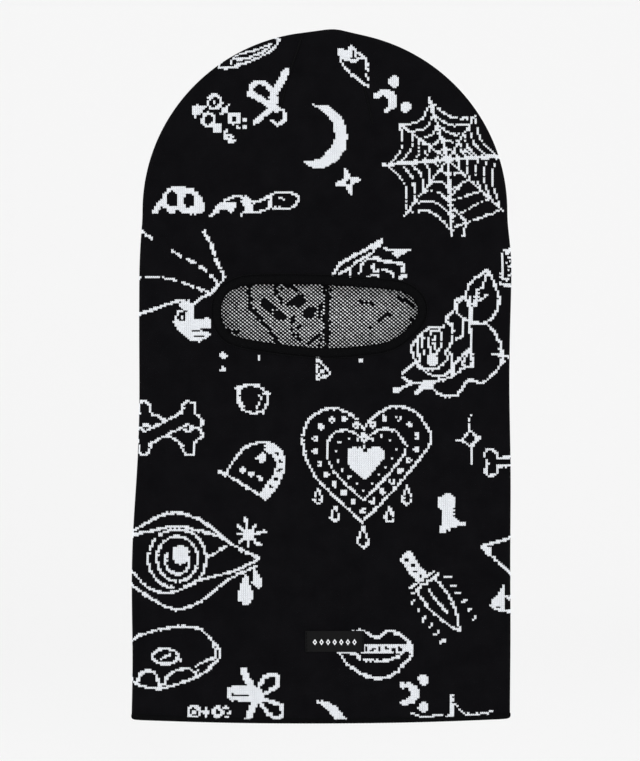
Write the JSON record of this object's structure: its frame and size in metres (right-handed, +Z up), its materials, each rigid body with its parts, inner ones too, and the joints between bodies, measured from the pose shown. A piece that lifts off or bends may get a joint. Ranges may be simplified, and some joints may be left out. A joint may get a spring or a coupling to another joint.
{
  "type": "knitted balaclava",
  "caption": "Long knitted hood that covers head and neck, with one bound eye slot, a dart-shaped crown, a centre back seam and an open neck.",
  "frame": {"origin": "inside the crown, where the top of the head touches the knit", "axes": "+Z up towards the crown, +X to the right as seen from the front, the front with its eye slot faces -Y"},
  "size_m": [0.232, 0.0173, 0.4227],
  "materials": {
    "black_knit": "matt fine-gauge jacquard knit with a soft fuzz",
    "white_yarn": "matt knitted loops standing on the black ground",
    "birdseye_lining": "matt birdseye backing, black and white loops by turns",
    "rib_binding": "matt rolled rib",
    "seam_thread": "matt spun thread",
    "woven_label": "satin woven tape"
  },
  "bodies": {
    "root": {"front_panel": "black_knit", "back_panel_left": "black_knit", "back_panel_right": "black_knit", "hem_edge": "black_knit", "slot_binding": "rib_binding", "slot_stitching": "seam_thread", "centre_back_seam": "seam_thread", "front_dart_seam_left": "seam_thread", "front_dart_seam_right": "seam_thread", "back_dart_seam_left": "seam_thread", "back_dart_seam_right": "seam_thread", "crown_tack": "seam_thread", "front_label": "woven_label", "label_stitches": "seam_thread"}
  },
  "joints": []
}
